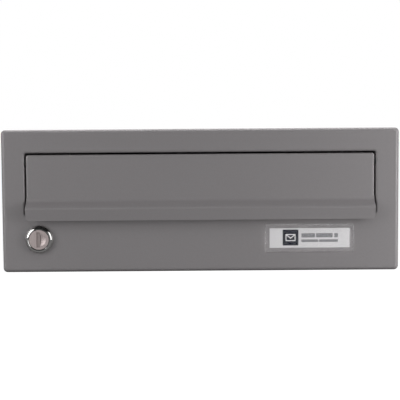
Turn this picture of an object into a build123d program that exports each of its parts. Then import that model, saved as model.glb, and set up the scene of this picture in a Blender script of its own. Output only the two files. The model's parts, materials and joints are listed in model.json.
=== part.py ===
from build123d import *
import os

# Wall-mounted letterbox of the horizontal 300 x 110 x 385 kind: a deep sheet-steel housing closed
# by a full-front door that carries the letter flap, a cam lock and a name plate.
# Frame: the origin is the centre of the wall face, +Z is up and the door faces -Y. Millimetres.

# Driving dimensions
FRONT_W = 300.0        # door front, width
FRONT_H = 107.8        # door front, height
DEPTH = 385.0          # wall face to door face
DOOR_SHEET = 1.2
DOOR_DEPTH = 16.0      # depth of the door tray
DOOR_BEND = 3.0        # outer bend radius of the door tray
DOOR_GAP = 4.0         # door tray to housing frame
DOOR_RETURN = 8.0      # second fold along the tray's rear edge
HOUSING_W = 298.0
HOUSING_H = 105.0
SHEET = 1.0            # housing and flap sheet
SHEET_BEND = 1.5
FRAME_FLANGE = 12.0    # flange that surrounds the mouth
FRAME_COLLAR = 14.0    # how far the frame wraps back over the panels
BACK_COLLAR = 13.0
PANEL_LIP = 10.0       # upturned edges of the floor and roof panels
PANEL_EASE = 0.7       # keeps the panels' ends and corners out of the collars' bends

SLOT_W = 264.8         # cut-out in the door
SLOT_TOP = 36.4
SLOT_BOTTOM = -10.0
SLOT_COLLAR = 10.0     # depth of the folded edge round the cut-out
SLOT_BEND = 1.8
FLAP_W = 262.6
FLAP_TOP = 35.0
FLAP_RETURN = 8.0      # depth of the flap's folded top edge and of its cheeks
FLAP_HEM = 2.3         # depth of its folded side edges
FLAP_CREASE = 0.4      # height of the upper crease
FLAP_KNEE = -5.0       # height of the lower crease
FLAP_KNEE_OUT = 7.2    # how far the lower crease stands out
FLAP_BOTTOM = -14.3
FLAP_EDGE_OUT = 5.4    # how far the lip's lower edge stands out
FLAP_AXIS_DROP = 6.0   # flap hinge axis below the flap's top edge
FLAP_AXIS_IN = 4.0     # and behind the door face
ROD_R = 1.5

HINGE_X = 143.0        # door hinge axis
HINGE_IN = 10.0        # behind the door face
PIN_R = 2.0
RUNNING = 0.05         # radial clearance of a turning fit

LOCK_X = -121.9
LOCK_Z = -28.8
LOCK_RING_R = 10.8
LOCK_RING_OUT = 3.4
LOCK_DOME_R = 3.7      # rounding of the ring from its mouth to its rim
LOCK_BODY_R = 9.4
LOCK_FACE_R = 7.9      # plug face
LOCK_CORE_R = 6.5      # plug behind its face
LOCK_FACE_DEEP = 6.0
SLIT_X = -0.55         # key slit, from the lock's centre
SLIT_W = 2.7
SLIT_H = 11.4
DISH_X = 0.3           # hollow beside the slit
DISH_R = 10.6
DISH_DEEP = 1.2
CAM_REACH = 21.0
CAM_W = 10.0
CAM_T = 2.0

PLATE_X = 82.4         # name plate
PLATE_Z = -29.3
PLATE_W = 67.0
PLATE_H = 21.4
PLATE_OUT = 2.2
BOND = 0.05            # glue line under the name plate
LABEL_W = 60.4
LABEL_H = 14.8
LABEL_LIFT = 0.4       # label above the plate's centre

WALL_HOLE_R = 3.25
WALL_SPACING_X = 230.0
WALL_SPACING_Z = 44.0

# Planes worked out from them
DOOR_FACE = -DEPTH
DOOR_REAR = DOOR_FACE + DOOR_DEPTH
FRAME_FACE = DOOR_REAR + DOOR_GAP
FRAME_BACK = FRAME_FACE + SHEET
TUBE_W = HOUSING_W - 2 * SHEET
TUBE_H = HOUSING_H - 2 * SHEET
PANEL_Y = (FRAME_BACK + PANEL_EASE, -SHEET - PANEL_EASE)
MOUTH_W = HOUSING_W - 2 * FRAME_FLANGE
MOUTH_H = HOUSING_H - 2 * FRAME_FLANGE
HINGE_Y = DOOR_FACE + HINGE_IN
ROD_Y = DOOR_FACE + FLAP_AXIS_IN
ROD_Z = FLAP_TOP - FLAP_AXIS_DROP
CAM_FRONT = FRAME_BACK + 0.6
CAM_REAR = CAM_FRONT + CAM_T


def block(x, y, z):
    """A box from three (low, high) spans."""
    middle = Pos((x[0] + x[1]) / 2, (y[0] + y[1]) / 2, (z[0] + z[1]) / 2)
    return middle * Box(x[1] - x[0], y[1] - y[0], z[1] - z[0])


def span(middle, width):
    return (middle - width / 2, middle + width / 2)


def bar(start, direction, radius, length):
    """A round bar from a point along a direction."""
    plane = Plane(origin=start, z_dir=direction)
    return plane.location * (Pos(0, 0, length / 2) * Cylinder(radius, length))


def rounded_box(width, height, y, bend, corner):
    """A box whose face at y[0] has bent edges; its four corners along Y are rounded too."""
    solid = block(span(0, width), y, span(0, height))
    solid = fillet(solid.edges().filter_by(Axis.Y), corner)
    return fillet(solid.faces().sort_by(Axis.Y)[0].edges(), bend)


def tray(width, height, y, sheet, bend):
    """A folded tray, closed at y[0] and open at y[1]."""
    outer = rounded_box(width, height, y, bend, bend + 0.2)
    inner_y = (y[0] + sheet, y[1] + 1)
    inner = rounded_box(width - 2 * sheet, height - 2 * sheet, inner_y, bend - sheet, bend + 0.2 - sheet)
    return outer - inner


def channel(width, height, sheet, bend, y):
    """A panel with both long edges folded up, lying with its flat side down at z = 0."""
    outer = Pos(0, height / 2) * Rectangle(width, height)
    outer = fillet(outer.vertices().group_by(Axis.Y)[0], bend)
    inner = Pos(0, height / 2 + sheet) * Rectangle(width - 2 * sheet, height)
    inner = fillet(inner.vertices().group_by(Axis.Y)[0], bend - sheet)
    return Plane.XZ.offset(-y[1]) * extrude(outer - inner, y[1] - y[0])


def both_sides(solid):
    return [solid, mirror(solid, about=Plane.YZ)]


def both_heights(solid):
    return [solid, mirror(solid, about=Plane.XY)]


def save(name, *solids):
    shape = solids[0] if len(solids) == 1 else Compound(children=list(solids))
    shape.label = name
    export_step(shape, f"parts/{name}.step")


# Rivets: a point on the outer sheet's face and the outward direction
RIVET_R = 1.6
RIVET_COLUMNS = (-100.0, 0.0, 100.0)
SEAM_STATIONS = (-300.0, -182.0, -64.0)


def rivet_seats():
    seats = []
    for y in (FRAME_FACE + FRAME_COLLAR / 2, -BACK_COLLAR / 2):
        for side in (-1, 1):
            for x in RIVET_COLUMNS:
                seats.append(((x, y, side * HOUSING_H / 2), (0, 0, side)))
            for z in (-25.0, 25.0):
                seats.append(((side * HOUSING_W / 2, y, z), (side, 0, 0)))
    for y in SEAM_STATIONS:
        for side in (-1, 1):
            for z in (-TUBE_H / 2 + PANEL_LIP / 2 + 0.5, TUBE_H / 2 - PANEL_LIP / 2 - 0.5):
                seats.append(((side * TUBE_W / 2, y, z), (side, 0, 0)))
    return seats


def rivet(point, outward):
    head = fillet(Cylinder(3.1, 0.8).edges().sort_by(Axis.Z)[-1], 0.7)
    shank = Pos(0, 0, -1.5) * Cylinder(RIVET_R, 3.0)
    bulb = fillet(Cylinder(2.5, 1.2).edges().sort_by(Axis.Z)[0], 0.8)
    whole = Pos(0, 0, 0.4) * head + shank + Pos(0, 0, -2 * SHEET - 0.6) * bulb
    return Plane(origin=point, z_dir=outward).location * whole


def rivet_holes():
    return [
        bar(tuple(p + o for p, o in zip(point, outward)), tuple(-o for o in outward), RIVET_R, 4.0)
        for point, outward in rivet_seats()
    ]


# Housing
def side_panel():
    """The left side; the right one is its mirror image."""
    x = (-TUBE_W / 2, -TUBE_W / 2 + SHEET)
    return block(x, PANEL_Y, span(0, TUBE_H - 2 * PANEL_EASE)) - rivet_holes()


def floor_panel():
    panel = channel(TUBE_W - 2 * SHEET, PANEL_LIP, SHEET, SHEET_BEND, PANEL_Y)
    panel = Pos(0, 0, -TUBE_H / 2) * panel
    drains = [bar((x, -330.0, -HOUSING_H / 2), (0, 0, 1), 2.5, 5.0) for x in (-110.0, 110.0)]
    return panel - rivet_holes() - drains


def roof_panel():
    panel = channel(TUBE_W - 2 * SHEET, PANEL_LIP, SHEET, SHEET_BEND, PANEL_Y)
    return mirror(Pos(0, 0, -TUBE_H / 2) * panel, about=Plane.XY) - rivet_holes()


def front_frame():
    y = (FRAME_FACE, FRAME_FACE + FRAME_COLLAR)
    frame = tray(HOUSING_W, HOUSING_H, y, SHEET, SHEET_BEND)
    mouth = block(span(0, MOUTH_W), (y[0] - 1, y[0] + 5), span(0, MOUTH_H))
    mouth = fillet(mouth.edges().filter_by(Axis.Y), 3.0)
    return frame - mouth - rivet_holes()


def back_panel():
    cap = Rot(Z=180) * tray(HOUSING_W, HOUSING_H, (0, BACK_COLLAR), SHEET, SHEET_BEND)
    holes = [
        bar((x, 1, z), (0, -1, 0), WALL_HOLE_R, 5.0)
        for x in span(0, WALL_SPACING_X)
        for z in span(0, WALL_SPACING_Z)
    ]
    return cap - holes - rivet_holes()


BUFFER_R = 4.0
BUFFER_SEATS = ((-144.0, 28.0), (-144.0, -28.0), (60.0, 48.0), (60.0, -48.0))


def door_buffer(x, z):
    pad = bar((x, FRAME_FACE, z), (0, -1, 0), BUFFER_R, DOOR_GAP - 0.1)
    return fillet(pad.edges().sort_by(Axis.Y)[0], 1.0)


# Door hinge: an ear on the frame and a leaf on the door, one pair at the top and one below
EAR_Z = (42.0, 44.0)
BUSH_FLANGE = 0.5
LEAF_Z = (EAR_Z[1] + 0.1 + BUSH_FLANGE, EAR_Z[1] + 0.1 + BUSH_FLANGE + DOOR_SHEET)
BUSH_R = 3.0
EAR_R = 4.6
EAR_LEG = (-19.0, -10.5)      # the ear's leg to the frame, from the hinge axis


def hinge_ear():
    leg = (HINGE_X + EAR_LEG[0], HINGE_X + EAR_LEG[1])
    back = block(leg, (HINGE_Y - 4, FRAME_FACE), EAR_Z)
    arm = block((leg[0], HINGE_X), span(HINGE_Y, 2 * EAR_R), EAR_Z)
    eye = bar((HINGE_X, HINGE_Y, EAR_Z[0]), (0, 0, 1), EAR_R, EAR_Z[1] - EAR_Z[0])
    foot = block(leg, (FRAME_FACE - 2, FRAME_FACE), (EAR_Z[0], 51.0))
    hole = bar((HINGE_X, HINGE_Y, EAR_Z[0] - 1), (0, 0, 1), PIN_R, 5.0)
    return back + arm + eye + foot - hole


def hinge_leaf():
    inside = DOOR_FACE + DOOR_SHEET
    eye = bar((HINGE_X, HINGE_Y, LEAF_Z[0]), (0, 0, 1), 5.0, DOOR_SHEET)
    tongue = block(span(HINGE_X, 7.6), (inside, HINGE_Y), LEAF_Z)
    base = block((HINGE_X - 15, HINGE_X + 3.8), (inside, inside + DOOR_SHEET), (LEAF_Z[0], 50.3))
    hole = bar((HINGE_X, HINGE_Y, LEAF_Z[0] - 1), (0, 0, 1), BUSH_R, 4.0)
    return eye + tongue + base - hole


def hinge_bush():
    flange = bar((HINGE_X, HINGE_Y, LEAF_Z[0] - BUSH_FLANGE), (0, 0, 1), 4.2, BUSH_FLANGE)
    sleeve = bar((HINGE_X, HINGE_Y, LEAF_Z[0]), (0, 0, 1), BUSH_R, DOOR_SHEET)
    bore = bar((HINGE_X, HINGE_Y, LEAF_Z[0] - 1), (0, 0, 1), PIN_R + RUNNING, 4.0)
    return flange + sleeve - bore


def hinge_pin():
    head = bar((HINGE_X, HINGE_Y, EAR_Z[0]), (0, 0, -1), 3.4, 1.2)
    head = fillet(head.edges().sort_by(Axis.Z)[0], 0.8)
    shank = bar((HINGE_X, HINGE_Y, EAR_Z[0] - 0.5), (0, 0, 1), PIN_R, 5.9)
    return head + chamfer(shank.edges().sort_by(Axis.Z)[-1], 0.4)


def hinge_clip():
    low = LEAF_Z[1] + 0.2
    cap = bar((HINGE_X, HINGE_Y, low), (0, 0, 1), 4.0, 0.8)
    return cap - bar((HINGE_X, HINGE_Y, low - 1), (0, 0, 1), PIN_R, 3.0)


# Door
def slot_prism(grow, y, corner):
    width = SLOT_W + 2 * grow
    prism = block(span(0, width), y, (SLOT_BOTTOM - grow, SLOT_TOP + grow))
    return fillet(prism.edges().filter_by(Axis.Y), corner)


def door_panel():
    door = tray(FRONT_W, FRONT_H, (DOOR_FACE, DOOR_REAR), DOOR_SHEET, DOOR_BEND)
    rear = (DOOR_REAR - DOOR_SHEET, DOOR_REAR)
    inner_w, inner_h = FRONT_W - DOOR_SHEET, FRONT_H - DOOR_SHEET
    rim = block((-inner_w / 2, 118.0), rear, span(0, inner_h))
    rim = fillet(rim.edges().filter_by(Axis.Y).group_by(Axis.X)[0], 2.6)
    window = block((-inner_w / 2 + DOOR_RETURN, 119.0), (rear[0] - 1, rear[1] + 1),
                   span(0, inner_h - 2 * DOOR_RETURN))
    door += rim - window
    door += slot_prism(DOOR_SHEET, (DOOR_FACE + 0.5, DOOR_FACE + SLOT_COLLAR), 2.7)
    door -= slot_prism(0, (DOOR_FACE - 1, DOOR_FACE + SLOT_COLLAR + 1), 1.5)
    rim_edges = [
        edge for edge in door.edges()
        if abs(edge.center().Y - DOOR_FACE) < 0.01 and SLOT_BOTTOM - 1 < edge.center().Z < SLOT_TOP + 1
        and abs(edge.center().X) < SLOT_W / 2 + 1
    ]
    door = fillet(rim_edges, SLOT_BEND)
    door -= bar((LOCK_X, DOOR_FACE - 1, LOCK_Z), (0, 1, 0), LOCK_BODY_R, 4.0)
    reach = WALL_OUT + 1
    return door - bar((-reach, ROD_Y, ROD_Z), (1, 0, 0), ROD_BUSH_R, 2 * reach)


# Letter flap
CHEEK_T = 1.0
CHEEK_X = FLAP_W / 2 - SHEET - CHEEK_T


def letter_flap():
    """A sheet with a folded top and hemmed sides whose lower part is pressed out into a pull lip."""
    y = (DOOR_FACE, DOOR_FACE + FLAP_RETURN)
    height = 2 * (FLAP_TOP - FLAP_CREASE)
    pan = Pos(0, 0, FLAP_CREASE) * tray(FLAP_W, height, y, SHEET, SHEET_BEND)
    pan -= block(span(0, FLAP_W + 2), (y[0] - 1, y[1] + 1), (-FLAP_TOP - 5, FLAP_CREASE + 1.8))
    pan -= block(span(0, FLAP_W + 2), (y[0] + FLAP_HEM, y[1] + 1), (FLAP_CREASE, FLAP_TOP - SHEET))
    front = DOOR_FACE
    with BuildSketch(Plane.YZ) as section:
        with BuildLine():
            FilletPolyline(
                (front, FLAP_CREASE + 2.6),
                (front, FLAP_CREASE),
                (front - FLAP_KNEE_OUT, FLAP_KNEE),
                (front - FLAP_EDGE_OUT, FLAP_BOTTOM),
                radius=[3.0, 1.6],
            )
            offset(amount=SHEET, side=Side.LEFT)
        make_face()
    sheet = extrude(section.sketch, FLAP_W / 2, both=True)
    corners = sheet.edges().filter_by(lambda e: e.center().Z < FLAP_BOTTOM + 0.6 and abs(e.center().X) > 130)
    sheet = fillet(corners.filter_by(lambda e: e.length < 2), 2.0)
    return pan + sheet


def flap_cheek():
    """A plate spot-welded inside the flap's right hem that carries the hinge rod's end."""
    y = (DOOR_FACE + SHEET + 0.6, DOOR_FACE + FLAP_RETURN)
    plate = block((CHEEK_X, CHEEK_X + CHEEK_T), y, (FLAP_CREASE + 2.0, FLAP_TOP - SHEET - 0.6))
    plate = fillet(plate.edges().filter_by(Axis.X).sort_by(Axis.Z)[:2].sort_by(Axis.Y)[-1], 4.0)
    return plate - bar((CHEEK_X - 1, ROD_Y, ROD_Z), (1, 0, 0), ROD_R, CHEEK_T + 2)


# Flap hinge: the rod is fixed in the flap's sides and turns in bushes in the cut-out's collar
ROD_BUSH_R = 2.5
WALL_OUT = SLOT_W / 2 + DOOR_SHEET
CAP_W = 1.8
SPRING_WIRE = 0.4
SPRING_COIL = 2.2
SPRING_TURNS = 7
SPRING_PITCH = 1.7 * SPRING_WIRE
SPRING_START = -WALL_OUT - 1.5
ROD_LEFT = SPRING_START - SPRING_TURNS * SPRING_PITCH - CAP_W
ROD_RIGHT = WALL_OUT + 0.1 + CAP_W


def flap_bush():
    flange = bar((FLAP_W / 2 + 0.1, ROD_Y, ROD_Z), (1, 0, 0), 3.6, (SLOT_W - FLAP_W) / 2 - 0.1)
    sleeve = bar((SLOT_W / 2, ROD_Y, ROD_Z), (1, 0, 0), ROD_BUSH_R, DOOR_SHEET)
    bore = bar((FLAP_W / 2, ROD_Y, ROD_Z), (1, 0, 0), ROD_R + RUNNING, 8.0)
    return flange + sleeve - bore


def flap_rod():
    return bar((ROD_LEFT, ROD_Y, ROD_Z), (1, 0, 0), ROD_R, ROD_RIGHT - ROD_LEFT)


def rod_cap(end, outward):
    """A push-on cap whose closed face lies just past the rod's end."""
    cap = bar((end + outward * 0.7, ROD_Y, ROD_Z), (-outward, 0, 0), 2.6, CAP_W + 0.7)
    cap = fillet(cap.edges().sort_by(Axis.X)[-1 if outward > 0 else 0], 0.7)
    return cap - bar((end, ROD_Y, ROD_Z), (-outward, 0, 0), ROD_R, CAP_W + 1)


def flap_spring():
    """A closed-wound torsion spring on the rod's left end, hooked behind the collar's edge."""
    coil = [
        Pos(SPRING_START - SPRING_PITCH * n, ROD_Y, ROD_Z) * Rot(Y=90) * Torus(SPRING_COIL, SPRING_WIRE)
        for n in range(SPRING_TURNS)
    ]
    hook_y = DOOR_FACE + SLOT_COLLAR + SPRING_WIRE
    top = ROD_Z + SPRING_COIL - 0.1
    leg = bar((SPRING_START, ROD_Y - 0.5, top), (0, 1, 0), SPRING_WIRE, hook_y - ROD_Y + 0.5)
    leg += Pos(SPRING_START, hook_y, top) * Sphere(SPRING_WIRE)
    hook = bar((SPRING_START, hook_y, top), (1, 0, 0), SPRING_WIRE, 3.0)
    return coil[0] + coil[1:] + leg + hook


FLAP_PAD_Z = -12.7
FLAP_PAD_R = 1.3


def flap_buffer():
    """A rubber stop on the door face that the lip closes against."""
    pad = bar((120.0, DOOR_FACE, FLAP_PAD_Z), (0, -1, 0), FLAP_PAD_R, FLAP_EDGE_OUT - SHEET - 0.2)
    return fillet(pad.edges().sort_by(Axis.Y)[0], 0.5)


# Lock: everything is turned round the axis through (LOCK_X, LOCK_Z)
def on_lock(solid):
    return Pos(LOCK_X, 0, LOCK_Z) * solid


def turned(radius, y):
    return bar((0, y[0], 0), (0, 1, 0), radius, y[1] - y[0])


PLUG_FACE = DOOR_FACE - LOCK_RING_OUT + 0.3
FACE_REAR = PLUG_FACE + LOCK_FACE_DEEP
BODY_REAR = FRAME_FACE - 1.0
WASHER_T = 0.8
NUT_T = 4.5


def lock_housing():
    mouth_r = LOCK_FACE_R + RUNNING
    rim = (LOCK_RING_R, DOOR_FACE - 0.5)
    dome = RadiusArc((mouth_r, DOOR_FACE - LOCK_RING_OUT), rim, -LOCK_DOME_R)
    sides = Polyline(rim, (LOCK_RING_R, DOOR_FACE), (mouth_r, DOOR_FACE), (mouth_r, DOOR_FACE - LOCK_RING_OUT))
    ring = revolve(make_face(dome + sides), Axis.Y)
    body = turned(LOCK_BODY_R, (DOOR_FACE - 0.5, BODY_REAR))
    body = chamfer(body.edges().sort_by(Axis.Y)[-1], 0.6)
    bore = turned(mouth_r, (PLUG_FACE - 2, FACE_REAR + RUNNING))
    core = turned(LOCK_CORE_R + RUNNING, (PLUG_FACE, BODY_REAR + 1))
    housing = ring + body - bore - core
    mouth = housing.edges().filter_by(GeomType.CIRCLE).group_by(Axis.Y)[0].sort_by(SortBy.LENGTH)[0]
    return on_lock(chamfer(mouth, 0.25))


def lock_washer():
    y = (DOOR_FACE + DOOR_SHEET, DOOR_FACE + DOOR_SHEET + WASHER_T)
    return on_lock(turned(12.4, y) - turned(LOCK_BODY_R, (y[0] - 1, y[1] + 1)))


def lock_nut():
    front = DOOR_FACE + DOOR_SHEET + WASHER_T
    hexagon = extrude(RegularPolygon(12.7, 6), NUT_T)
    nut = Plane(origin=(0, front, 0), z_dir=(0, 1, 0)).location * hexagon
    return on_lock(nut - turned(LOCK_BODY_R, (front - 1, front + NUT_T + 1)))


CAVITY_W = 4.6         # room behind the slit where the shutter folds away
CAVITY_H = 12.4
CAVITY_DEEP = 5.5
FACE_SKIN = 0.6
SHUTTER_R = 0.45       # shutter hinge barrel
STUB_R = 0.3
SHUTTER_X = SLIT_X - SLIT_W / 2 - 0.7
SHUTTER_Y = PLUG_FACE + FACE_SKIN + 0.6
KEYWAY_W = 2.2
KEYWAY_H = 9.0
WAFERS = 5
WAFER_PITCH = 2.3
WAFER_T = 1.0
BOSS = 6.0             # square drive for the cam
SCREW_R = 1.65
SCREW_DEEP = 6.0


def wafer_spans():
    first = FACE_REAR + 1.5
    return [(first + n * WAFER_PITCH, first + n * WAFER_PITCH + WAFER_T) for n in range(WAFERS)]


def lock_plug():
    face = turned(LOCK_FACE_R, (PLUG_FACE, FACE_REAR))
    face = chamfer(face.edges().sort_by(Axis.Y)[0], 0.5)
    plug = face + turned(LOCK_CORE_R, (FACE_REAR, CAM_FRONT))
    plug += block(span(0, BOSS), (CAM_FRONT, CAM_REAR), span(0, BOSS))
    slit = block(span(SLIT_X, SLIT_W), (PLUG_FACE - 1, PLUG_FACE + 2), span(0, SLIT_H))
    left = SHUTTER_X - SHUTTER_R - 0.15
    cavity = block((left, left + CAVITY_W), (PLUG_FACE + FACE_SKIN, PLUG_FACE + CAVITY_DEEP), span(0, CAVITY_H))
    keyway = block(span(SLIT_X, KEYWAY_W), (PLUG_FACE + 1, BODY_REAR - 3.4), span(0, KEYWAY_H))
    dish = Pos(DISH_X, PLUG_FACE + DISH_DEEP - DISH_R, 0) * Rot(X=90) * Sphere(DISH_R)
    dish &= block((SLIT_X + SLIT_W / 2, LOCK_FACE_R), (PLUG_FACE - 2, PLUG_FACE + 2), span(0, 12.0))
    plug = plug - slit - cavity - keyway - dish
    for y in wafer_spans():
        plug -= block(span(0, 5.4), (y[0] - 0.05, y[1] + 0.05), span(0, 14.0))
    plug -= bar((SHUTTER_X, SHUTTER_Y, -7.0), (0, 0, 1), STUB_R + RUNNING, 14.0)
    plug -= turned(SCREW_R, (CAM_REAR - SCREW_DEEP, CAM_REAR + 1))
    return on_lock(plug)


def lock_wafers():
    window = block(span(SLIT_X, KEYWAY_W), (PLUG_FACE, BODY_REAR), span(0.4, 6.2))
    return [on_lock(block(span(0, 5.0), y, span(0, 11.4)) - window) for y in wafer_spans()]


def dust_shutter():
    """A thin leaf behind the key slit, hinged on a barrel at the slit's left side."""
    right = SLIT_X + SLIT_W / 2 + 0.25
    leaf = block((SHUTTER_X, right), (SHUTTER_Y - 0.45, SHUTTER_Y - 0.05), span(0, CAVITY_H - 0.4))
    barrel = bar((SHUTTER_X, SHUTTER_Y, -CAVITY_H / 2 + 0.2), (0, 0, 1), SHUTTER_R, CAVITY_H - 0.4)
    stubs = bar((SHUTTER_X, SHUTTER_Y, -6.7), (0, 0, 1), STUB_R, 13.4)
    return on_lock(leaf + barrel + stubs)


def lock_cam():
    reach = CAM_REACH - CAM_W / 2
    hub = turned(8.0, (CAM_FRONT, CAM_REAR))
    arm = block(span(0, CAM_W), (CAM_FRONT, CAM_REAR), (0, reach))
    tip = Pos(0, 0, reach) * turned(CAM_W / 2, (CAM_FRONT, CAM_REAR))
    drive = block(span(0, BOSS), (CAM_FRONT - 1, CAM_REAR + 1), span(0, BOSS))
    return on_lock(hub + arm + tip - drive)


def cam_washer():
    washer = turned(4.5, (CAM_REAR, CAM_REAR + 0.8))
    return on_lock(washer - turned(SCREW_R, (CAM_REAR - 1, CAM_REAR + 2)))


def cam_screw():
    y = (CAM_REAR + 0.8, CAM_REAR + 3.2)
    head = fillet(turned(3.6, y).edges().sort_by(Axis.Y)[-1], 0.9)
    cross = block(span(0, 0.9), (y[1] - 1.4, y[1] + 1), span(0, 4.2))
    cross += block(span(0, 4.2), (y[1] - 1.4, y[1] + 1), span(0, 0.9))
    return on_lock(head + turned(SCREW_R, (CAM_REAR - SCREW_DEEP, y[0] + 0.5)) - cross)


# Name plate
def nameplate_cover():
    y = (DOOR_FACE - PLATE_OUT, DOOR_FACE - BOND)
    cover = block(span(0, PLATE_W), y, span(0, PLATE_H))
    cover = fillet(cover.edges().filter_by(Axis.Y), 1.4)
    cover = fillet(cover.faces().sort_by(Axis.Y)[0].edges(), 0.7)
    cover -= block(span(0, LABEL_W + 0.6), (DOOR_FACE - 0.5, DOOR_FACE + 1), span(LABEL_LIFT, LABEL_H + 0.6))
    return Pos(PLATE_X, 0, PLATE_Z) * cover


def name_label():
    y = (DOOR_FACE - 0.35, DOOR_FACE - BOND)
    return block(span(PLATE_X, LABEL_W), y, span(PLATE_Z + LABEL_LIFT, LABEL_H))


os.makedirs("parts", exist_ok=True)

left_side = side_panel()
save("left_side_panel", left_side)
save("right_side_panel", mirror(left_side, about=Plane.YZ))
save("floor_panel", floor_panel())
save("roof_panel", roof_panel())
save("back_panel", back_panel())
save("front_frame", front_frame())
save("housing_rivets", *[rivet(point, outward) for point, outward in rivet_seats()])
save("door_buffers", *[door_buffer(x, z) for x, z in BUFFER_SEATS])
save("hinge_ears", *both_heights(hinge_ear()))
save("hinge_pins", *both_heights(hinge_pin()))
save("hinge_clips", *both_heights(hinge_clip()))

save("door_panel", door_panel())
save("hinge_leaves", *both_heights(hinge_leaf()))
save("hinge_bushes", *both_heights(hinge_bush()))
save("flap_bushes", *both_sides(flap_bush()))
save("flap_spring", flap_spring())
save("flap_buffers", *both_sides(flap_buffer()))
save("lock_housing", lock_housing())
save("lock_washer", lock_washer())
save("lock_nut", lock_nut())
save("nameplate_cover", nameplate_cover())
save("name_label", name_label())

save("letter_flap", letter_flap())
save("flap_cheeks", *both_sides(flap_cheek()))
save("flap_rod", flap_rod())
save("rod_caps", rod_cap(ROD_LEFT, -1), rod_cap(ROD_RIGHT, 1))

save("lock_plug", lock_plug())
save("lock_wafers", *lock_wafers())
save("lock_cam", lock_cam())
save("cam_washer", cam_washer())
save("cam_screw", cam_screw())
save("dust_shutter", dust_shutter())
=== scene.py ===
import json
import math

import bmesh
import bpy
from mathutils import Matrix, Vector


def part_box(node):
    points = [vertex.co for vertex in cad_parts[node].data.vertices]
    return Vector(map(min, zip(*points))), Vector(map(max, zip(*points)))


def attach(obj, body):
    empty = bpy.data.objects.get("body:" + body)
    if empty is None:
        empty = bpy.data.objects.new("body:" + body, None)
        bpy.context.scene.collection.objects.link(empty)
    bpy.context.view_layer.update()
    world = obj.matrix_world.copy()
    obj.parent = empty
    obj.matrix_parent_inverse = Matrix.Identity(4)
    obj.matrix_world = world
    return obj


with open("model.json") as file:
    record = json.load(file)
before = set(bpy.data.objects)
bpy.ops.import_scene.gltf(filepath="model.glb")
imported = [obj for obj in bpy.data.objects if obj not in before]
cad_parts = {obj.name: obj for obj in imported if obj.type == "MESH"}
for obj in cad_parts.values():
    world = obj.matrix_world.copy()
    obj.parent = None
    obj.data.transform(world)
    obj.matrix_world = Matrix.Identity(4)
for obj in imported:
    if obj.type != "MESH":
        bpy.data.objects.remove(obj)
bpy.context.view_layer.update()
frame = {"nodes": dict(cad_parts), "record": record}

MM = 0.001
NODES = frame["nodes"]


# ---------------------------------------------------------------- materials
class Shader:
    """A material with one Principled BSDF and short calls for the nodes that feed it."""

    def __init__(self, name, color, roughness, **fixed):
        self.mat = bpy.data.materials.new(name)
        self.mat.use_nodes = True
        self.nodes = self.mat.node_tree.nodes
        self.links = self.mat.node_tree.links
        self.bsdf = self.nodes["Principled BSDF"]
        self.bsdf.inputs["Base Color"].default_value = (*color, 1)
        self.bsdf.inputs["Roughness"].default_value = roughness
        for key, value in fixed.items():
            self.bsdf.inputs[key.replace("_", " ")].default_value = value
        self.place = self.add("ShaderNodeTexCoord").outputs["Object"]

    def add(self, kind, **settings):
        node = self.nodes.new(kind)
        for key, value in settings.items():
            setattr(node, key, value)
        return node

    def feed(self, socket, value):
        if isinstance(value, bpy.types.NodeSocket):
            self.links.new(value, socket)
        else:
            socket.default_value = value

    def stretched(self, scale):
        node = self.add("ShaderNodeMapping")
        self.feed(node.inputs["Vector"], self.place)
        node.inputs["Scale"].default_value = scale
        return node.outputs["Vector"]

    def noise(self, scale, detail=2.0, rough=0.5, vector=None):
        node = self.add("ShaderNodeTexNoise")
        self.feed(node.inputs["Vector"], vector or self.place)
        node.inputs["Scale"].default_value = scale
        node.inputs["Detail"].default_value = detail
        node.inputs["Roughness"].default_value = rough
        return node.outputs["Fac"]

    def cells(self, scale):
        node = self.add("ShaderNodeTexVoronoi")
        self.feed(node.inputs["Vector"], self.place)
        node.inputs["Scale"].default_value = scale
        return node.outputs["Color"]

    def span(self, value, low, high, source=(0.0, 1.0)):
        node = self.add("ShaderNodeMapRange")
        self.feed(node.inputs["Value"], value)
        for key, number in zip(("From Min", "From Max", "To Min", "To Max"), (*source, low, high)):
            node.inputs[key].default_value = number
        return node.outputs["Result"]

    def math(self, operation, a, b):
        node = self.add("ShaderNodeMath", operation=operation)
        self.feed(node.inputs[0], a)
        self.feed(node.inputs[1], b)
        return node.outputs[0]

    def tint(self, factor, low, high):
        node = self.add("ShaderNodeMix", data_type="RGBA")
        self.feed(node.inputs["Factor"], factor)
        node.inputs[6].default_value = (*low, 1)
        node.inputs[7].default_value = (*high, 1)
        return node.outputs[2]

    def color(self, value):
        self.feed(self.bsdf.inputs["Base Color"], value)

    def rough(self, value):
        self.feed(self.bsdf.inputs["Roughness"], value)

    def bump(self, height, distance, strength=1.0):
        node = self.add("ShaderNodeBump")
        node.inputs["Strength"].default_value = strength
        node.inputs["Distance"].default_value = distance
        self.feed(node.inputs["Height"], height)
        self.feed(self.bsdf.inputs["Normal"], node.outputs["Normal"])


def scaled(color, factor):
    return tuple(channel * factor for channel in color)


COAT = (0.258, 0.245, 0.250)


def powder_coat(name, color):
    """Grey satin metallic powder coat: fine flakes and a soft orange-peel surface."""
    s = Shader(name, color, 0.42, Metallic=0.35)
    flakes = s.span(s.cells(2600.0), 0.0, 1.0)
    clouds = s.noise(14.0, 3.0)
    mixed = s.math("ADD", s.math("MULTIPLY", flakes, 0.7), s.math("MULTIPLY", clouds, 0.3))
    s.color(s.tint(mixed, scaled(color, 0.95), scaled(color, 1.05)))
    s.rough(s.span(s.noise(420.0, 2.0), 0.36, 0.48, (0.3, 0.7)))
    s.bump(s.noise(650.0, 2.0, 0.55), 0.00003)
    return s.mat


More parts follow.
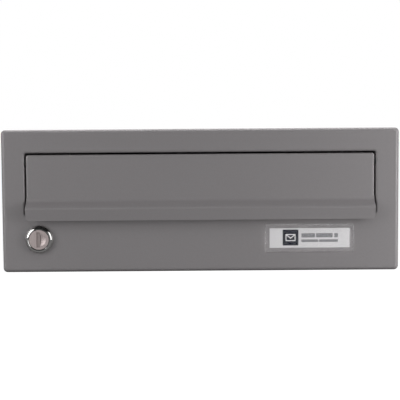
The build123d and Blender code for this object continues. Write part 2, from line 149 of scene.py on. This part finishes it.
def zinc(name, color, rough=0.32):
    s = Shader(name, color, rough, Metallic=1.0)
    s.color(s.tint(s.noise(160.0, 3.0), scaled(color, 0.85), scaled(color, 1.1)))
    s.rough(s.span(s.noise(900.0, 3.0), rough - 0.08, rough + 0.12))
    s.bump(s.noise(1500.0, 2.0), 0.00002)
    return s.mat


def polished(name, color):
    s = Shader(name, color, 0.07, Metallic=1.0)
    s.rough(s.span(s.noise(500.0, 4.0), 0.04, 0.12))
    s.bump(s.noise(260.0, 2.0), 0.00001)
    return s.mat


def satin_nickel(name, color):
    s = Shader(name, color, 0.42, Metallic=0.6)
    grain = s.noise(900.0, 3.0, vector=s.stretched((1.0, 1.0, 0.12)))
    s.color(s.tint(grain, scaled(color, 0.86), scaled(color, 1.08)))
    s.rough(s.span(grain, 0.38, 0.50))
    s.bump(grain, 0.00001)
    return s.mat


def plain_rubber(name, color):
    s = Shader(name, color, 0.75)
    s.color(s.tint(s.noise(700.0, 3.0), scaled(color, 0.7), scaled(color, 1.4)))
    s.bump(s.noise(1400.0, 3.0), 0.00004)
    return s.mat


def nylon(name, color):
    s = Shader(name, color, 0.45, Subsurface_Weight=0.1)
    s.color(s.tint(s.noise(400.0, 2.0), scaled(color, 0.94), scaled(color, 1.03)))
    s.bump(s.noise(1200.0, 2.0), 0.00002)
    return s.mat


def clear_acrylic(name):
    s = Shader(name, (0.72, 0.72, 0.72), 0.03, Transmission_Weight=1.0, IOR=1.49)
    s.rough(s.span(s.noise(300.0, 3.0), 0.02, 0.06))
    return s.mat


def paper(name, color):
    s = Shader(name, color, 0.8)
    fibres = s.noise(1800.0, 4.0, 0.7)
    s.color(s.tint(fibres, scaled(color, 0.95), scaled(color, 1.03)))
    s.bump(fibres, 0.00001)
    return s.mat


def ink(name, color):
    s = Shader(name, color, 0.8, Specular_IOR_Level=0.1)
    s.color(s.tint(s.noise(2500.0, 3.0), scaled(color, 0.85), scaled(color, 1.3)))
    return s.mat


FINISH = {
    "grey_coat": powder_coat("grey_powder_coat", COAT),
    "steel_zinc": zinc("zinc_plated_steel", (0.55, 0.55, 0.54)),
    "rivet_aluminium": zinc("rivet_aluminium", (0.50, 0.50, 0.50), 0.38),
    "lock_chrome": polished("lock_chrome", (0.70, 0.69, 0.68)),
    "lock_nickel": satin_nickel("satin_nickel", (0.61, 0.525, 0.515)),
    "wafer_brass": zinc("wafer_brass", (0.66, 0.50, 0.22)),
    "black_rubber": plain_rubber("black_rubber", (0.025, 0.025, 0.026)),
    "white_nylon": nylon("white_nylon", (0.72, 0.71, 0.67)),
    "black_nylon": nylon("black_nylon", (0.02, 0.02, 0.02)),
    "clear_cover": clear_acrylic("clear_acrylic"),
    "label_paper": paper("label_paper", (0.62, 0.61, 0.62)),
    "spring_steel": zinc("spring_steel", (0.42, 0.41, 0.39), 0.28),
}
for part in frame["record"]["subparts"]:
    node = NODES[part["node"]]
    node.data.materials.clear()
    node.data.materials.append(FINISH[part["material_slot"]])
NODES["dust_shutter"].data.materials[0] = satin_nickel("shutter_steel", (0.46, 0.395, 0.385))
NODES["nameplate_cover"].visible_shadow = False


# ---------------------------------------------------------------- print on the name label
def new_piece(name, shape, paint, body):
    """Turn a bmesh into a piece that rides on a body and takes a material slot."""
    mesh = bpy.data.meshes.new(name)
    bmesh.ops.recalc_face_normals(shape, faces=shape.faces)
    shape.to_mesh(mesh)
    shape.free()
    mesh.materials.append(paint)
    piece = bpy.data.objects.new(name, mesh)
    bpy.context.scene.collection.objects.link(piece)
    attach(piece, body)
    return piece


def rounded_outline(width, height, radius, steps=5):
    """Corner points of a rounded rectangle round the origin, anticlockwise."""
    points = []
    for index, (sx, sz) in enumerate(((1, 1), (-1, 1), (-1, -1), (1, -1))):
        for step in range(steps + 1):
            turn = math.radians(90 * (index + step / steps))
            points.append((sx * (width / 2 - radius) + radius * math.cos(turn),
                           sz * (height / 2 - radius) + radius * math.sin(turn)))
    return points


def add_plate(shape, outline, centre, y, thickness):
    """A thin plate with an outline in x and z, whose front lies at y."""
    front = [shape.verts.new((centre[0] + x, y, centre[1] + z)) for x, z in outline]
    face = shape.faces.new(front)
    pulled = bmesh.ops.extrude_face_region(shape, geom=[face])["geom"]
    corners = [item for item in pulled if isinstance(item, bmesh.types.BMVert)]
    bmesh.ops.translate(shape, vec=(0, thickness, 0), verts=corners)


def stroke(a, b, width):
    """Outline of a straight stroke with square ends from a to b."""
    along = (Vector(b) - Vector(a)).normalized() * (width / 2)
    side = Vector((-along.y, along.x))
    a, b = Vector(a) - along, Vector(b) + along
    return [tuple(p) for p in (a - side, b - side, b + side, a + side)]


LABEL_LOW, LABEL_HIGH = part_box("name_label")
LABEL_MID = ((LABEL_LOW.x + LABEL_HIGH.x) / 2, (LABEL_LOW.z + LABEL_HIGH.z) / 2)
PRINT_PITCH = 0.02 * MM        # from one layer of print to the next
PRINT_T = 0.9 * PRINT_PITCH
PRINT_Y = LABEL_LOW.y - PRINT_PITCH
TILE = (LABEL_MID[0] - 14.4 * MM, LABEL_MID[1] + 0.3 * MM)
TILE_W, TILE_H = 11.9 * MM, 12.0 * MM

tile = bmesh.new()
add_plate(tile, rounded_outline(TILE_W, TILE_H, 0.5 * MM), TILE, PRINT_Y, PRINT_T)
new_piece("label_tile", tile, ink("label_ink", (0.004, 0.005, 0.014)), "door")

# the envelope: four edges and the two lines of its fold, each a little in front of the one before
envelope = bmesh.new()
LINE = 0.6 * MM
HALF_W, HALF_H = 3.4 * MM, 2.3 * MM
FOLD = (0, -0.5 * MM)
CORNERS = [(-HALF_W, -HALF_H), (HALF_W, -HALF_H), (HALF_W, HALF_H), (-HALF_W, HALF_H)]
STROKES = [*zip(CORNERS, CORNERS[1:] + CORNERS[:1]), (CORNERS[3], FOLD), (FOLD, CORNERS[2])]
for layer, (a, b) in enumerate(STROKES):
    add_plate(envelope, stroke(a, b, LINE), TILE, PRINT_Y - PRINT_PITCH * (1 + 0.1 * layer), PRINT_T)
new_piece("label_envelope", envelope, ink("label_pictogram", (0.78, 0.77, 0.78)), "door")

# two rows of bars in place of words: height, rise above the label's middle, and each bar's two ends
bars = bmesh.new()
BAR_ROWS = ((3.2, 1.9, ((-6.2, 4.2), (4.9, 17.4), (18.6, 21.4))),
            (2.0, -2.2, ((-6.2, 6.6), (7.2, 21.4))))
for height, rise, spans in BAR_ROWS:
    for left, right in spans:
        middle = (LABEL_MID[0] + (left + right) / 2 * MM, LABEL_MID[1] + rise * MM)
        outline = rounded_outline((right - left) * MM, height * MM, 0.45 * MM)
        add_plate(bars, outline, middle, PRINT_Y, PRINT_T)
new_piece("label_bars", bars, ink("label_grey_ink", (0.21, 0.21, 0.22)), "door")


# ---------------------------------------------------------------- painted shade: a black ring in the groove round the plug
def add_ring(shape, profile, centre, steps=96):
    """A ring about an axis along y, from (radius, y) corner points."""
    loops = []
    for step in range(steps):
        turn = math.tau * step / steps
        loops.append([shape.verts.new((centre[0] + r * math.cos(turn), y, centre[1] + r * math.sin(turn)))
                      for r, y in profile])
    for step in range(steps):
        here, there = loops[step], loops[(step + 1) % steps]
        for k in range(len(profile)):
            after = (k + 1) % len(profile)
            shape.faces.new((here[k], here[after], there[after], there[k]))


PLUG_LOW, PLUG_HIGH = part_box("lock_plug")
PLUG_MID = ((PLUG_LOW.x + PLUG_HIGH.x) / 2, (PLUG_LOW.z + PLUG_HIGH.z) / 2)
SHADE_RING_IN, SHADE_RING_OUT, SHADE_RING_HEEL = 7.48, 8.04, 8.0
SHADE_RING_PROFILE = ((SHADE_RING_IN, 0.02), (SHADE_RING_OUT, 0.02), (SHADE_RING_OUT, 0.56), (SHADE_RING_HEEL, 0.56), (SHADE_RING_IN, 0.05))
# painted shade: a black ring fills the groove between the plug and the chrome ring to give its dark
# shadow line
groove_shade = bmesh.new()
add_ring(groove_shade, [(radius * MM, PLUG_LOW.y + y * MM) for radius, y in SHADE_RING_PROFILE], PLUG_MID)
new_piece("lock_groove_shade", groove_shade, plain_rubber("painted_groove_shade", (0.02, 0.02, 0.02)), "door")


# ---------------------------------------------------------------- stage, light and camera
DOOR_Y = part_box("door_panel")[0].y
AIM = (0.0, DOOR_Y, 0.0)
CAMERA_AT = (0.0, DOOR_Y - 0.760, 0.054)
CAMERA_AIM = (-0.0002, DOOR_Y, 0.0003)
CAMERA_VIEW = math.radians(22.41)
CAMERA_ROLL = math.radians(-0.42)


def look_at(obj, target, roll=0.0):
    direction = Vector(target) - obj.location
    turn = direction.to_track_quat("-Z", "Y").to_matrix().to_4x4()
    obj.matrix_world = Matrix.Translation(obj.location) @ turn @ Matrix.Rotation(roll, 4, "Z")


def area_light(name, where, size, power):
    """A rectangular light that points at the middle of the door's face."""
    data = bpy.data.lights.new(name, "AREA")
    data.shape = "RECTANGLE"
    data.size, data.size_y = size
    data.energy = power
    lamp = bpy.data.objects.new(name, data)
    bpy.context.scene.collection.objects.link(lamp)
    lamp.location = where
    look_at(lamp, AIM)
    return lamp


camera_data = bpy.data.cameras.new("camera")
camera_data.angle = CAMERA_VIEW
camera = bpy.data.objects.new("camera", camera_data)
bpy.context.scene.collection.objects.link(camera)
camera.location = CAMERA_AT
look_at(camera, CAMERA_AIM, CAMERA_ROLL)
bpy.context.scene.camera = camera


def card(name, where, size, paint):
    """A flat sheet of the stage that faces up."""
    mesh = bpy.data.meshes.new(name)
    shape = bmesh.new()
    bmesh.ops.create_grid(shape, x_segments=1, y_segments=1, size=0.5)
    bmesh.ops.scale(shape, vec=(*size, 1.0), verts=shape.verts)
    shape.to_mesh(mesh)
    shape.free()
    mesh.materials.append(paint)
    sheet = bpy.data.objects.new(name, mesh)
    sheet.location = where
    bpy.context.scene.collection.objects.link(sheet)
    return sheet


# a bright floor that only the camera sees, and dark cards above and below that it doesn't see
FLOOR_Z = -0.35
pale = Shader("pale_floor", (0.9, 0.9, 0.9), 0.9, Emission_Color=(1, 1, 1, 1), Emission_Strength=0.8)
floor = card("floor", (0, 0, FLOOR_Z), (60.0, 60.0), pale.mat)
floor.visible_diffuse = False
floor.visible_glossy = False
dark = Shader("dark_card", (0.03, 0.03, 0.03), 0.9)
under = card("under_card", (0, DOOR_Y + 0.12, -0.072), (1.2, 0.25), dark.mat)
under.visible_camera = False
over = card("over_card", (0, DOOR_Y - 0.90, 0.8), (2.4, 1.8), dark.mat)
over.visible_camera = False
over.visible_diffuse = False
over.visible_shadow = False

# a white background that lights the object less than the camera sees it
WORLD_SEEN = 1.0
WORLD_LIGHT = 0.20
world = bpy.data.worlds.new("studio")
bpy.context.scene.world = world
world.use_nodes = True
tree = world.node_tree
tree.nodes["Background"].inputs["Color"].default_value = (1, 1, 1, 1)
camera_ray = tree.nodes.new("ShaderNodeLightPath").outputs["Is Camera Ray"]
strength = tree.nodes.new("ShaderNodeMapRange")
strength.inputs["To Min"].default_value = WORLD_LIGHT
strength.inputs["To Max"].default_value = WORLD_SEEN
tree.links.new(camera_ray, strength.inputs["Value"])
tree.links.new(strength.outputs["Result"], tree.nodes["Background"].inputs["Strength"])

# large lights that the metal reflects, then soft ones that it doesn't
area_light("side_light_right", (0.80, DOOR_Y - 0.50, 0.24), (0.55, 0.8), 2.4)
area_light("side_light_left", (-0.80, DOOR_Y - 0.50, 0.31), (0.55, 0.64), 3.05)
area_light("back_light", (0, 0.9, 1.0), (2.0, 0.8), 9.0)
area_light("over_light", (0, DOOR_Y + 0.26, 1.2), (1.6, 0.3), 9.0)
for name, where, size, power in (("near_light_right", (0.45, DOOR_Y - 0.20, 0.0), (0.12, 0.4), 1.6),
                                 ("near_light_left", (-0.45, DOOR_Y - 0.20, 0.0), (0.12, 0.4), 0.5),
                                 ("top_fill", (0, DOOR_Y - 0.50, 0.9), (1.0, 0.3), 2.4),
                                 ("low_fill", (0, DOOR_Y - 0.90, -0.34), (1.2, 0.3), 1.15)):
    area_light(name, where, size, power).visible_glossy = False

bpy.context.scene.view_settings.view_transform = "Standard"
